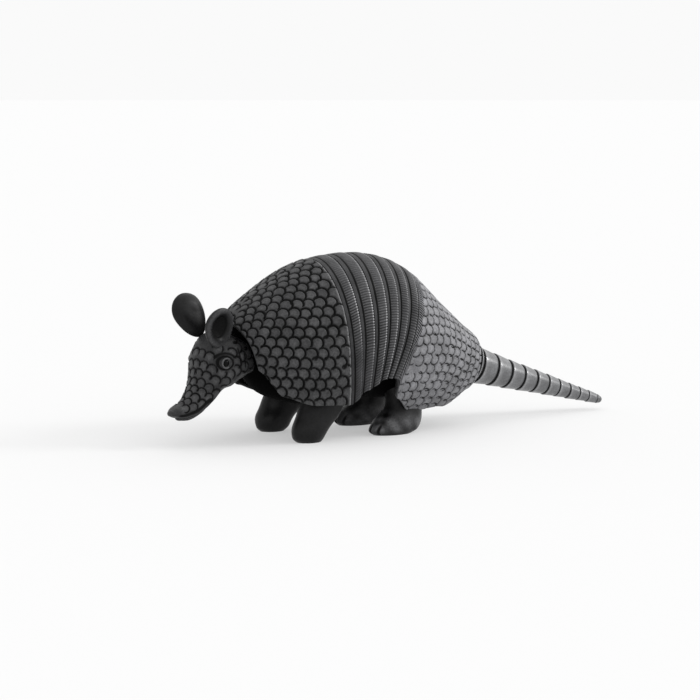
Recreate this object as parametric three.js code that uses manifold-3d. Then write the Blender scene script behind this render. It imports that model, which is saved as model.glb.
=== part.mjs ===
// A black clay armadillo, built the way a potter builds it. A hollow trunk carries a shoulder shield, six
// arched bands and a rump shield. The head, ears, eyes, jaw and legs are pressed on, and the tail is a
// tapered core that ten rings, a collar and a tip are wrapped round.
// Millimetres, +Z up. The head points along -X and the animal's left side is -Y.
import * as THREE from "three";
import Module from "manifold-3d";
import { mergeVertices } from "three/addons/utils/BufferGeometryUtils.js";

const wasm = await Module();
wasm.setup();

// Driving dimensions
const gap = 0.35; // clearance between touching pieces
const shellThickness = 3.2; // wall of the shields and bands
const trunkInset = 5.8; // from the shell's face to the trunk's face
const trunkWall = 6; // wall of the hollow trunk
const ventDiameter = 3.6; // firing vent under the belly
const ventX = -8;
const ventLength = 20; // from the floor up, past the belly's wall
const bandCount = 6;
const bandStep = 1.5; // how far a band's smooth front strip lies below its ribbed rear
const ringCount = 10;
const neckX = -73.5; // where the head meets the trunk
const headTurn = 14; // degrees the head is turned to the animal's left
const tailSlope = 16.6; // degrees the tail falls towards its tip
const tailRoot = { x: 83.1, z: 31.9 }; // centre of the first ring's front face

// Cross-sections of the shell from neck to tail root. Each is drawn in a plane that leans towards the tail:
// [x, z of the widest point, lean in degrees, half width, height above, depth of the side curve below]
const shellRows = [
  [-73, 52, -20, 24, 15.5, 40],
  [-58, 51, -4, 33, 30, 55],
  [-41, 50, -3, 39, 41.8, 70],
  [-22, 50.5, -3.7, 41.5, 48, 75],
  [-1, 50.5, 9, 42.5, 50.5, 75],
  [15, 50, 21.8, 42, 44.8, 60],
  [36, 43, 25, 37.5, 34.6, 46],
  [57, 35, 24, 28, 27, 36],
  [71, 31.8, 18.5, 20.3, 21.6, 18.5],
  [76.6, 31.6, 17, 15.6, 17.6, 13.5],
  [78.6, 31.5, 17, 12.6, 14.6, 10.8],
];
const frontBand = 3; // section where the shoulder shield ends
const rearBand = 5; // section where the rump shield begins

// How far the shell's lower edge hangs below the widest point: [section, depth]
const edgeRows = [
  [0, 12],
  [1, 25],
  [2, 29],
  [3, 30],
  [3.6, 22],
  [4.25, 16.8],
  [5, 18],
  [5.4, 29],
  [6, 33],
  [7, 24.5],
  [8, 11.8],
  [9, 10],
  [10, 9],
];

// The trunk's neck, which the head is cupped over, then its belly depth under the shell's second section on
const neckRows = [
  [-78, 49, 0, 8.5, 7.5, 7.5],
  [-71, 49.5, 0, 10.5, 9, 9],
];
const bellyDepths = [26, 31, 33.5, 34, 33, 28, 21.5, 10.5, 6.6];

// The head's sections from the nape to the nose, x measured forwards from the neck, laid out as the shell's
const headRows = [
  [-5.5, 47, 20, 14.5, 11, 9.5],
  [2, 47, 18, 16.3, 13.4, 11],
  [9, 45.5, 22, 16.5, 16.4, 12.5],
  [15, 41, 36, 14.8, 13.4, 12],
  [19.5, 35, 52, 11.5, 7.6, 8.8],
  [24, 28.4, 50, 8.8, 6, 7.8],
  [29, 22.9, 35, 7.4, 5.2, 5.4],
  [34.5, 20.5, 18, 6.8, 4.1, 4],
  [39, 19.6, 8, 6, 2.9, 3],
  [41.5, 19.4, 4, 3.8, 1.7, 1.7],
];
const jawRows = [
  [14, 29.6, 50, 4.8, 1.2, 1.4],
  [20.5, 23.4, 45, 5.3, 1.5, 1.8],
  [26.5, 18.8, 25, 5, 1.5, 1.8],
  [32.5, 16.6, 10, 4.4, 1.4, 1.7],
  [37, 16.3, 0, 3, 0.9, 1.1],
];

// Legs from the sole up: [x, y outwards, z, half length, half thickness]
const frontLegRows = [
  [-38, 22, 0, 7, 5.8],
  [-38, 22, 2.5, 9.4, 7.4],
  [-36.5, 22, 8, 11.3, 8.6],
  [-32, 22, 15, 12.8, 8.6],
  [-27.5, 21, 24, 14, 8.4],
  [-26, 19, 32, 14, 8],
];
const rearLegRows = [
  [15.5, 20, 0, 11.5, 6.5],
  [16.5, 20, 2.5, 15, 8.2],
  [19, 20, 7.5, 14.8, 8.8],
  [23, 19, 14, 11.8, 7.8],
  [24, 18, 22, 11.5, 7.2],
  [24, 18, 32, 12, 7],
];

const clay = (color, roughness) => new THREE.MeshStandardMaterial({ color, roughness, metalness: 0 });
const burnished = clay(0x3c3c3d, 0.45);
const mattBlack = clay(0x1f1f20, 0.8);
const radians = THREE.MathUtils.degToRad;

// Smooth curve through rows of numbers: at section u, each column follows a Catmull-Rom spline.
function through(rows, u) {
  const last = rows.length - 1;
  const i = Math.min(Math.max(Math.floor(u), 0), last - 1);
  const t = u - i;
  const at = (k) => rows[Math.min(Math.max(k, 0), last)];
  return rows[0].map((_, c) => {
    const [a, b, d, e] = [at(i - 1)[c], at(i)[c], at(i + 1)[c], at(i + 2)[c]];
    return b + 0.5 * t * (d - a + t * (2 * a - 5 * b + 4 * d - e + t * (3 * (b - d) + e - a)));
  });
}

// Depth of the shell's lower edge at section u, eased from one [section, depth] pair to the next.
function edgeDepth(u) {
  const last = edgeRows.length - 2;
  const found = edgeRows.findIndex((row, i) => i <= last && u <= edgeRows[i + 1][0]);
  const i = found < 0 ? last : found;
  const [[u0, d0], [u1, d1]] = [edgeRows[i], edgeRows[i + 1]];
  const t = THREE.MathUtils.clamp((u - u0) / (u1 - u0), 0, 1);
  return d0 + (d1 - d0) * t * t * (3 - 2 * t);
}

// A point of a leaning section plane: y across, v up the plane.
const inPlane = ([x, z, lean], y, v) =>
  new THREE.Vector3(x + v * Math.sin(radians(lean)), y, z + v * Math.cos(radians(lean)));

// A closed ring round a section: half an ellipse above the widest point and half below it. A power under 1
// makes the lower half boxier.
function ring(row, segments, inset = 0, power = 1) {
  const [, , , width, up, down] = row;
  const boxed = (x) => Math.sign(x) * Math.abs(x) ** power;
  return Array.from({ length: segments }, (_, j) => {
    const angle = (2 * Math.PI * j) / segments;
    const [across, rise] = [Math.sin(angle), Math.cos(angle)];
    if (rise > 0) return inPlane(row, (width - inset) * across, (up - inset) * rise);
    return inPlane(row, (width - inset) * boxed(across), (down - inset) * boxed(rise));
  });
}

// The shell's arch at section u, from the right lower edge over the top to the left one.
function arch(u, inset, segments) {
  const row = through(shellRows, u);
  const [, , , width, up, down] = row;
  const tuck = Math.asin(Math.min(edgeDepth(u) / down, 0.999));
  const reach = Math.PI / 2 + tuck;
  return Array.from({ length: segments + 1 }, (_, j) => {
    const side = 1 - (2 * j) / segments;
    const angle = Math.abs(side) * reach;
    const rise = angle < Math.PI / 2 ? up - inset : down;
    return inPlane(row, Math.sign(side) * (width - inset) * Math.sin(angle), rise * Math.cos(angle));
  });
}

// A mesh from points and quads or triangles of indices, turned so that its faces point out.
function closedMesh(points, faces) {
  const triangles = faces.flatMap(([a, b, c, d]) => (d === undefined ? [[a, b, c]] : [[a, b, c], [a, c, d]]));
  const volume = triangles.reduce(
    (sum, [a, b, c]) => sum + points[a].dot(points[b].clone().cross(points[c])), 0);
  const index = triangles.flatMap(([a, b, c]) => (volume > 0 ? [a, b, c] : [a, c, b]));
  return new THREE.BufferGeometry().setFromPoints(points).setIndex(index);
}

// A solid through closed rings of points, with a fan over each end.
function loft(rings) {
  const n = rings[0].length;
  const points = rings.flat();
  const faces = [];
  for (let i = 0; i + 1 < rings.length; i++)
    for (let j = 0; j < n; j++)
      faces.push([i * n + j, i * n + ((j + 1) % n), (i + 1) * n + ((j + 1) % n), (i + 1) * n + j]);
  for (const i of [0, rings.length - 1]) {
    const centre = points.length;
    points.push(rings[i].reduce((sum, p) => sum.add(p), new THREE.Vector3()).divideScalar(n));
    for (let j = 0; j < n; j++) {
      const [a, b] = [i * n + j, i * n + ((j + 1) % n)];
      faces.push(i ? [a, b, centre] : [b, a, centre]);
    }
  }
  return closedMesh(points, faces);
}

// A curved plate between an outer and an inner grid of points.
function plate(outer, inner) {
  const [rows, n] = [outer.length, outer[0].length];
  const points = [...outer.flat(), ...inner.flat()];
  const out = (i, j) => i * n + j;
  const under = (i, j) => rows * n + i * n + j;
  const faces = [];
  for (let i = 0; i + 1 < rows; i++) {
    for (let j = 0; j + 1 < n; j++) {
      faces.push([out(i, j), out(i, j + 1), out(i + 1, j + 1), out(i + 1, j)]);
      faces.push([under(i, j), under(i + 1, j), under(i + 1, j + 1), under(i, j + 1)]);
    }
    faces.push([out(i, 0), out(i + 1, 0), under(i + 1, 0), under(i, 0)]);
    faces.push([out(i, n - 1), under(i, n - 1), under(i + 1, n - 1), out(i + 1, n - 1)]);
  }
  for (let j = 0; j + 1 < n; j++) {
    faces.push([out(0, j), under(0, j), under(0, j + 1), out(0, j + 1)]);
    faces.push([out(rows - 1, j), out(rows - 1, j + 1), under(rows - 1, j + 1), under(rows - 1, j)]);
  }
  return closedMesh(points, faces);
}

// three.js geometry to a manifold solid and back
function solid(geometry) {
  const bare = new THREE.BufferGeometry().setAttribute("position", geometry.getAttribute("position"));
  bare.setIndex(geometry.index);
  const merged = mergeVertices(bare, 1e-4);
  const mesh = { numProp: 3, vertProperties: merged.attributes.position.array };
  return new wasm.Manifold(new wasm.Mesh({ ...mesh, triVerts: new Uint32Array(merged.index.array) }));
}

function geometryOf(manifold) {
  const mesh = manifold.getMesh();
  const geometry = new THREE.BufferGeometry();
  geometry.setAttribute("position", new THREE.BufferAttribute(mesh.vertProperties, 3));
  return geometry.setIndex(new THREE.BufferAttribute(mesh.triVerts, 1));
}

const cut = (body, ...tools) =>
  geometryOf(tools.reduce((left, tool) => left.subtract(solid(tool)), solid(body)));
const span = (from, to, steps) => Array.from({ length: steps + 1 }, (_, i) => from + ((to - from) * i) / steps);

const figure = new THREE.Group();
const headGroup = new THREE.Group();
const tailGroup = new THREE.Group();

function add(name, geometry, material, group = figure) {
  const mesh = new THREE.Mesh(geometry, material);
  mesh.name = name;
  group.add(mesh);
}

// ---- shell ----

function shellPlate(from, to, steps, segments, sink = () => 0, grow = 0) {
  const stations = span(from, to, steps);
  const face = (inset) => stations.map((u, i) => arch(u, inset(i / steps), segments));
  return plate(face((share) => sink(share) - grow), face(() => shellThickness + bandStep + grow));
}

const sectionGap = 0.02; // a joint of about 0.35 mm, in sections
const shellEnd = shellRows.length - 1.12; // the tail's collar starts here
const shoulderShield = (grow = 0) => shellPlate(0, frontBand - sectionGap / 2, 10, 20, () => 0, grow);
const rumpShield = (grow = 0) => shellPlate(rearBand + sectionGap / 2, shellEnd, 14, 20, () => 0, grow);

function addShell() {
  add("shoulder_shield", shoulderShield(), burnished);
  add("rump_shield", rumpShield(), burnished);
  const width = (rearBand - frontBand) / bandCount;
  for (let k = 0; k < bandCount; k++) {
    const from = frontBand + k * width;
    const sink = (share) => (share < 0.3 ? bandStep : 0);
    const band = shellPlate(from + sectionGap / 2, from + width - sectionGap / 2, 3, 20, sink);
    add(`band_${k + 1}`, band, burnished);
  }
}

// ---- trunk ----

const trunkRows = [
  ...neckRows,
  ...bellyDepths.map((down, i) => {
    const [x, z, lean, width, up] = shellRows[i + 1];
    return [x, z, lean, width - trunkInset, up - trunkInset, down];
  }),
];

const trunkForm = (inset, from, to, steps, segments) =>
  loft(span(from, to, steps).map((u) => ring(through(trunkRows, u), segments, inset)));

const trunkEnd = trunkRows.length - 1;
const wholeTrunk = (grow = 0) => trunkForm(-grow, 0, trunkEnd, 20, 20);

function addTrunk() {
  const hollow = trunkForm(trunkWall, 1.5, trunkEnd - 1.2, 9, 14);
  const vent = new THREE.CylinderGeometry(ventDiameter / 2, ventDiameter / 2, 2 * ventLength, 12);
  vent.rotateX(Math.PI / 2).translate(ventX, 0, ventLength);
  const tailSocket = tailCore(gap, 10).applyMatrix4(tailPlace());
  add("trunk", cut(wholeTrunk(), hollow, vent, tailSocket), mattBlack);
}

// ---- legs ----

const legForm = (rows, side, segments = 14) =>
  loft(
    span(0, rows.length - 1, 8).map((u) => {
      const [x, y, z, long, thick] = through(rows, u);
      return Array.from({ length: segments }, (_, j) => {
        const angle = (2 * Math.PI * j) / segments;
        return new THREE.Vector3(x + long * Math.cos(angle), side * y + thick * Math.sin(angle), z);
      });
    }),
  );

function addLegs() {
  const body = [wholeTrunk(gap), shoulderShield(gap), rumpShield(gap)];
  const sides = { left: -1, right: 1 };
  for (const [side, sign] of Object.entries(sides)) {
    add(`front_${side}_leg`, cut(legForm(frontLegRows, sign), ...body), mattBlack);
    add(`rear_${side}_leg`, cut(legForm(rearLegRows, sign), ...body), mattBlack);
  }
}

// ---- head: local x runs forwards, and the group turns it to face -X ----

const jowl = 0.62; // power of the head's lower half
const headForm = (rows, inset, steps, segments, power = 1) =>
  loft(span(0, rows.length - 1, steps).map((u) => ring(through(rows, u), segments, inset, power)));

const eye = { x: 14.6, y: 13.9, z: 46.2 };
const ear = { x: 16.5, y: 10, z: 56.3, long: 11.2, wide: 9.8, deep: 4.5, splay: 15, uneven: 1.6 };
const earForward = { left: 10, right: 24 }; // degrees each ear is turned forwards
const eyelidRadius = 2.6;
const eyelidRoll = 0.55;
const pelletRadius = 1.7;

function addHead() {
  const sides = { left: 1, right: -1 };
  const jaw = headForm(jawRows, 0, 8, 12);
  const tools = [headForm(jawRows, -gap, 8, 12)];
  for (const [side, sign] of Object.entries(sides)) {
    tools.push(eyePiece(eyelidRadius + eyelidRoll + gap, sign), earForm(side, sign, gap));
  }
  tools.push(wholeTrunk(gap).translate(-neckX, 0, 0).rotateZ(Math.PI - radians(headTurn)));
  add("head", cut(headForm(headRows, 0, 20, 20, jowl), ...tools), mattBlack, headGroup);
  add("lower_jaw", jaw, mattBlack, headGroup);
  for (const [side, sign] of Object.entries(sides)) {
    add(`${side}_ear`, earForm(side, sign), mattBlack, headGroup);
    add(`${side}_eyelid`, eyelid(sign), mattBlack, headGroup);
    add(`${side}_eye`, eyePiece(pelletRadius, sign), burnished, headGroup);
  }
  headGroup.position.x = neckX;
  headGroup.rotation.z = Math.PI + radians(headTurn);
}

const toEye = (geometry, sign) =>
  geometry.rotateX(sign < 0 ? Math.PI / 2 : -Math.PI / 2).translate(eye.x, sign * eye.y, eye.z);
const eyePiece = (radius, sign) => toEye(new THREE.SphereGeometry(radius, 12, 8), sign);
const eyelid = (sign) => toEye(new THREE.TorusGeometry(eyelidRadius, eyelidRoll, 6, 16), sign);

function earForm(side, sign, grow = 0) {
  const { deep, wide, long } = ear;
  const bowl = [[0, -deep], [0.5, -0.85 * deep], [0.85, -0.4 * deep], [1, 0.1], [0.93, 1], [0.76, -0.2]];
  const profile = [...bowl, [0.45, -0.4 * deep], [0, -0.5 * deep]];
  const cup = new THREE.LatheGeometry(profile.map(([r, h]) => new THREE.Vector2(r, h)), 18);
  cup.scale(wide + grow, 1, long + grow).rotateX(sign < 0 ? Math.PI : 0).translate(0, 0, long);
  cup.rotateX(radians(-sign * ear.splay)).rotateY(radians(earForward[side]));
  return cup.translate(ear.x, sign * ear.y, ear.z - sign * ear.uneven);
}

// ---- tail: local +Z runs from the root to the tip ----

const ringLength = (i) => 10.95 - 0.456 * i;
const ringStart = (i) => span(0, i, i || 1).slice(0, i).reduce((sum, k) => sum + ringLength(k), 0);
const tailRadius = (s) => 10.25 - 0.085 * s;
const coreRadius = (s) => 0.4 * tailRadius(s);
const pegLength = 12; // in the trunk's socket
const collarLength = 3.9;
const tailPlace = () =>
  new THREE.Matrix4().makeTranslation(tailRoot.x, 0, tailRoot.z).multiply(
    new THREE.Matrix4().makeRotationY(Math.PI / 2 + radians(tailSlope)));

const turned = (profile, segments) =>
  new THREE.LatheGeometry(profile.map(([r, s]) => new THREE.Vector2(r, s)), segments).rotateX(Math.PI / 2);

// The core that the rings sit on, from its peg in the trunk to s = to.
function tailCore(grow, to) {
  const [wide, slim] = [coreRadius(-pegLength) + grow, coreRadius(to) + grow];
  return turned([[0, -pegLength - grow], [wide, -pegLength - grow], [slim, to], [0, to]], 16);
}

// A ring of the tail: its front edge is broken a little and its rear edge slopes down more.
const cuffEdge = { drop: 1.2, front: 0.9, rear: 1.4 };
function cuff(from, to, swell, rearSwell = swell / 2) {
  const core = (s) => coreRadius(s) + gap;
  const [low, high] = [tailRadius(from) - cuffEdge.drop, tailRadius(from) + swell];
  const [lowRear, highRear] = [tailRadius(to) - cuffEdge.drop, tailRadius(to) + rearSwell];
  const profile = [
    [core(from), from], [low, from], [high, from + cuffEdge.front],
    [highRear, to - cuffEdge.rear], [lowRear, to - gap], [core(to), to - gap],
  ];
  return turned([...profile, profile[0]], 18);
}

function addTail() {
  const end = ringStart(ringCount);
  add("tail_core", tailCore(0, end + 1.5), mattBlack, tailGroup);
  add("tail_collar", cuff(-collarLength, 0, 2, 0.2), burnished, tailGroup);
  for (let i = 0; i < ringCount; i++)
    add(`tail_ring_${i + 1}`, cuff(ringStart(i), ringStart(i + 1), 0.3), burnished, tailGroup);
  const socket = [[0, end + 1.5 + gap], [coreRadius(end) + gap, end + 1.5 + gap], [coreRadius(end) + gap, end]];
  const tip = [...socket, [2.6, end], [2.5, end + 2], [1.4, end + 3.8], [0, end + 4.4]];
  add("tail_tip", turned(tip, 14), burnished, tailGroup);
  tailPlace().decompose(tailGroup.position, tailGroup.quaternion, tailGroup.scale);
}

addShell();
addTrunk();
addLegs();
addHead();
addTail();
figure.add(headGroup, tailGroup);

// The origin is the middle of the figure's box, on the surface it stands on.
figure.updateMatrixWorld(true);
const box = new THREE.Box3().setFromObject(figure, true);
figure.position.set(-(box.min.x + box.max.x) / 2, -(box.min.y + box.max.y) / 2, -box.min.z);

export default figure;
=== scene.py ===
# Black clay armadillo: the potter's surface work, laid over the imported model.
import math
import bpy
import bmesh
import numpy as np
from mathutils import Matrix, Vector


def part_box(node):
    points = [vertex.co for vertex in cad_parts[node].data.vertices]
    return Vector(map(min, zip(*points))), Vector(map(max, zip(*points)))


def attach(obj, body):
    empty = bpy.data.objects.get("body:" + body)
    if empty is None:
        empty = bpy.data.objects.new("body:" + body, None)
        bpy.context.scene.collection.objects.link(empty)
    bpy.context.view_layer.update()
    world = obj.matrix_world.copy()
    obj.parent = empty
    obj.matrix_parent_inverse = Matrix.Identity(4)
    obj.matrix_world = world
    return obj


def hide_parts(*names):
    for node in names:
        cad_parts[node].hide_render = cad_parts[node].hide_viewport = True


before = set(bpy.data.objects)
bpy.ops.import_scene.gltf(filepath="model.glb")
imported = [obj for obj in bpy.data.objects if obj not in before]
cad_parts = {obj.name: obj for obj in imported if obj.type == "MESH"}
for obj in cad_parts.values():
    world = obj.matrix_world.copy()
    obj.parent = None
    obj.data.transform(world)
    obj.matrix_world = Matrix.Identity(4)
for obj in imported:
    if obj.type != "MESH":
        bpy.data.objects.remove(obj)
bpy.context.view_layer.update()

mm = 0.001

# Sections of the shell, from the neck to the tail's collar, in millimetres before the frame's shift:
# x, z of the widest point, lean towards the tail in degrees, half width, height above, depth below
shell = {
    "sections": [
        (-73, 52, -20, 24, 15.5, 40), (-58, 51, -4, 33, 30, 55), (-41, 50, -3, 39, 41.8, 70),
        (-22, 50.5, -3.7, 41.5, 48, 75), (-1, 50.5, 9, 42.5, 50.5, 75), (15, 50, 21.8, 42, 44.8, 60),
        (36, 43, 25, 37.5, 34.6, 46), (57, 35, 24, 28, 27, 36), (71, 31.8, 18.5, 20.3, 21.6, 18.5),
        (76.6, 31.6, 17, 15.6, 17.6, 13.5), (78.6, 31.5, 17, 12.6, 14.6, 10.8),
    ],
    # section, depth of the lower edge under the widest point
    "hem": [
        (0, 12), (1, 25), (2, 29), (3, 30), (3.6, 22), (4.25, 16.8), (5, 18), (5.4, 29),
        (6, 33), (7, 24.5), (8, 11.8), (9, 10), (10, 9),
    ],
    # sections where the bands begin and end, where the shell ends, and the gap between plates; x of the neck's face
    "frontBand": 3, "rearBand": 5, "bands": 6, "end": 9.94, "joint": 0.02, "neckX": -78,
}
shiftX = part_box("trunk")[0].x / mm - shell["neckX"]


def along(rows, u):
    # Catmull-Rom: at section u each column is a cubic through the four rows round it
    rows = np.asarray(rows, float)
    last = len(rows) - 1
    i = np.clip(np.floor(u).astype(int), 0, last - 1)
    t = (u - i)[..., None]
    a, b, d, e = (rows[np.clip(i + k, 0, last)] for k in (-1, 0, 1, 2))
    return b + 0.5 * t * (d - a + t * (2 * a - 5 * b + 4 * d - e + t * (3 * (b - d) + e - a)))


def ease(x):
    # 0 below 0, 1 above 1, and 3x^2 - 2x^3 between
    x = np.clip(x, 0, 1)
    return x * x * (3 - 2 * x)


def bell(distance, width):
    # 1 at no distance, falling as exp(-(distance / width)^2)
    return np.exp(-(distance / width) ** 2)


def turns(count):
    # angles of count points spaced evenly round a circle
    return np.arange(count) * 2 * np.pi / count


def nearest(values, goal):
    # index of the entry with the least |value - goal|
    return int(np.argmin(np.abs(values - goal)))


def hemDepth(u):
    # depth of the lower edge, eased from one pair of the table to the next
    pairs = np.array(shell["hem"], float)
    i = np.clip(np.searchsorted(pairs[:, 0], u, "right") - 1, 0, len(pairs) - 2)
    share = (u - pairs[i, 0]) / (pairs[i + 1, 0] - pairs[i, 0])
    return pairs[i, 1] + (pairs[i + 1, 1] - pairs[i, 1]) * ease(share)


def archPoints(u, side):
    # a leaning ellipse: y = w sin(a), v = rise cos(a), with a from the spine down to the hem on either side
    x, z, lean, width, up, down = np.moveaxis(along(shell["sections"], u), -1, 0)
    reach = np.pi / 2 + np.arcsin(np.minimum(hemDepth(u) / down, 0.999))
    angle = np.abs(side) * reach
    v = np.where(angle < np.pi / 2, up, down) * np.cos(angle)
    lean = np.radians(lean)
    return np.stack([x + v * np.sin(lean), np.sign(side) * width * np.sin(angle), z + v * np.cos(lean)], -1)


def archGrid(u, side):
    # the arch at every pair of a section u and a side from -1 at one hem to 1 at the other
    return archPoints(u[:, None] + 0 * side, side + 0 * u[:, None])


def ringPoints(rows, u, angle, power=1):
    # a leaning section: half an ellipse above the widest point and half of another below it, made boxier by
    # raising the lower half's sine and cosine to the power
    x, z, lean, width, up, down = np.moveaxis(along(rows, u), -1, 0)
    across, rise = np.sin(angle), np.cos(angle)
    power = np.where(rise > 0, 1, power)
    across, rise = np.sign(across) * np.abs(across) ** power, np.sign(rise) * np.abs(rise) ** power
    v = np.where(rise > 0, up, down) * rise
    lean = np.radians(lean)
    return np.stack([x + v * np.sin(lean), width * across, z + v * np.cos(lean)], -1)


def gridNormals(points, wrap=False):
    # unit cross product of the grid's two directions; wrap joins the last column to the first
    rowWay = np.gradient(points, axis=0)
    if wrap:
        columnWay = np.roll(points, -1, 1) - np.roll(points, 1, 1)
    else:
        columnWay = np.gradient(points, axis=1)
    normals = np.cross(rowWay, columnWay)
    length = np.linalg.norm(normals, axis=-1, keepdims=True)
    return normals / np.maximum(length, 1e-9)


def outward(points, wrap=False, normals=None):
    # the normals turned so that on average they point away from the grid's middle
    normals = gridNormals(points, wrap) if normals is None else normals
    middle = points.reshape(-1, 3).mean(0)
    return normals if np.sum((points - middle) * normals) > 0 else -normals


def smoothNoise(points, size, seed):
    # sum of eight slow sine waves in random directions with wavelengths near size: -1 to 1
    waves = np.random.default_rng(seed)
    total = np.zeros(points.shape[:-1])
    for _ in range(8):
        way = waves.normal(size=3)
        way *= 2 * np.pi / (np.linalg.norm(way) * size * waves.uniform(0.6, 1.6))
        total += np.sin(points @ way + waves.uniform(0, 6.28))
    return total / 4


def spread(start, stop, length, step, close=(0, 0.12, 0.3, 0.55, 0.9)):
    # a parameter spaced step mm apart over length mm, with the closer steps listed at both ends
    inside = np.arange(close[-1] + step, length - close[-1] - step / 2, step)
    places = np.concatenate([close, inside, length - np.array(close)[::-1]])
    return start + (stop - start) * places / length


def arcLength(points, axis):
    # running length along one direction of a grid
    steps = np.linalg.norm(np.diff(points, axis=axis), axis=-1)
    return np.concatenate([np.zeros_like(steps.take([0], axis)), np.cumsum(steps, axis)], axis)


def quads(index):
    # one face to each square of neighbours in a grid of vertex numbers
    return np.stack([index[:-1, :-1], index[:-1, 1:], index[1:, 1:], index[1:, :-1]], -1).reshape(-1, 4)


def stitch(fine, coarse, picked):
    # triangles between an edge and the thinned copy of it, where picked says which of its points were kept
    near = np.searchsorted(picked, np.arange(len(fine)), "right") - 1
    wide = np.stack([fine[:-1], fine[1:], coarse[near[1:]]], -1)
    slim = np.stack([fine[:-1], coarse[near[1:]], coarse[near[:-1]]], -1)
    return np.concatenate([wide, slim[near[1:] != near[:-1]]])


def addObject(name, data):
    made = bpy.data.objects.new(name, data)
    bpy.context.scene.collection.objects.link(made)
    return made


def makePiece(name, vertices, faces, cutAndShade, rubAndSheen, node, material):
    # the first layer says how far each vertex is darkened, for the tool's cut and for painted shade, and the second
    # how far it is lightened, for the stone's rub and for painted sheen, vertex by vertex
    mesh = bpy.data.meshes.new(name)
    mesh.from_pydata(((vertices + (shiftX, 0, 0)) * mm).tolist(), [], faces)
    for layer, values in (("cutAndShade", cutAndShade), ("rubAndSheen", rubAndSheen)):
        mesh.attributes.new(layer, "FLOAT", "POINT").data.foreach_set("value", values.ravel().astype(np.float32))
    tool = bmesh.new()
    tool.from_mesh(mesh)
    bmesh.ops.recalc_face_normals(tool, faces=tool.faces)
    tool.to_mesh(mesh)
    tool.free()
    mesh.shade_smooth()
    mesh.materials.append(material)
    piece = addObject(name, mesh)
    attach(piece, "root")
    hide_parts(node)


def platePiece(name, points, normals, depth, wall, cutAndShade, rubAndSheen, node, material, thin=8):
    # a curved plate: the fine grid cut to its depth, a thinned copy of it wall mm further in, and stitched sides
    outer = points - normals * depth[..., None]
    rows, columns = outer.shape[:2]
    rowPick = np.unique(np.append(np.arange(0, rows, thin), rows - 1))
    columnPick = np.unique(np.append(np.arange(0, columns, thin), columns - 1))
    keep = np.ix_(rowPick, columnPick)
    inner = (outer - normals * wall)[keep]
    top = np.arange(rows * columns).reshape(rows, columns)
    under = top.size + np.arange(inner[..., 0].size).reshape(inner.shape[:2])
    sides = [
        stitch(top[0], under[0], columnPick), stitch(top[-1], under[-1], columnPick),
        stitch(top[:, 0], under[:, 0], rowPick), stitch(top[:, -1], under[:, -1], rowPick),
    ]
    faces = quads(top).tolist() + quads(under).tolist() + np.concatenate(sides).tolist()
    vertices = np.concatenate([outer.reshape(-1, 3), inner.reshape(-1, 3)])
    cutAndShade = np.append(cutAndShade, np.ones(inner[..., 0].size))
    rubAndSheen = np.append(rubAndSheen, np.zeros(inner[..., 0].size))
    makePiece(name, vertices, faces, cutAndShade, rubAndSheen, node, material)


def skinPiece(name, grid, cutAndShade, rubAndSheen, node, material, ring=False):
    # a closed skin: the grid's columns join round, and either its rows do too or a point closes each end row
    rows, columns = grid.shape[:2]
    index = np.arange(rows * columns).reshape(rows, columns)
    looped = np.concatenate([index, index[:, :1]], 1)
    vertices = grid.reshape(-1, 3)
    if ring:
        faces = quads(np.concatenate([looped, looped[:1]])).tolist()
        makePiece(name, vertices, faces, cutAndShade, rubAndSheen, node, material)
        return
    poles = np.stack([grid[0].mean(0), grid[-1].mean(0)])
    start = np.stack([looped[0, :-1], looped[0, 1:], np.full(columns, index.size)], -1)
    end = np.stack([looped[-1, :-1], looped[-1, 1:], np.full(columns, index.size + 1)], -1)
    faces = quads(looped).tolist() + start.tolist() + end.tolist()
    cutAndShade, rubAndSheen = (np.append(layer, [layer[0].mean(), layer[-1].mean()]) for layer in (cutAndShade, rubAndSheen))
    makePiece(name, np.concatenate([vertices, poles]), faces, cutAndShade, rubAndSheen, node, material)


def domeRows(ring, way, bulge, count):
    # closes an end row like the end of a loaf: towards its middle as cos t, outwards as bulge sin t
    t = np.linspace(0, np.pi / 2, count + 1)[1:-1, None, None]
    middle = ring.mean(0)
    return middle + (ring - middle) * np.cos(t) + np.array(way, float) * bulge * np.sin(t)


def settle(centres, fixed, skin, pitch, rounds=18):
    # each centre is pushed off the ones nearer than its pitch, then put back on the nearest point of the skin
    skin = skin.reshape(-1, 3)
    skinSquare = (skin ** 2).sum(1)
    for _ in range(rounds):
        everyone = np.concatenate([centres, fixed])
        apart = centres[:, None] - everyone[None]
        distance = np.linalg.norm(apart, axis=-1)
        distance[distance < 1e-6] = 1e6
        size = pitch(centres)[:, None]
        push = np.clip(1 - distance / (1.06 * size), 0, 1) / distance
        centres = centres + 0.4 * size * (push[..., None] * apart).sum(1)
        centres = skin[np.argmin(skinSquare - 2 * centres @ skin.T, 1)]
    return centres


def thinned(centres, fixed, pitch, share):
    # keeps each centre that is at least a share of its pitch from the fixed ones and from those kept before it
    kept = list(fixed)
    for centre, size in zip(centres, pitch(centres)):
        if np.min(np.linalg.norm(np.array(kept) - centre, axis=1)) > share * size:
            kept.append(centre)
    return np.array(kept[len(fixed):])


def nearestCells(grid, centres):
    # row and column of the least |p|^2 - 2 p.c, which is the squared distance less a constant
    skin = grid.reshape(-1, 3)
    found = np.argmin((skin ** 2).sum(1) - 2 * centres @ skin.T, 1)
    return np.unravel_index(found, grid.shape[:2])


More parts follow.
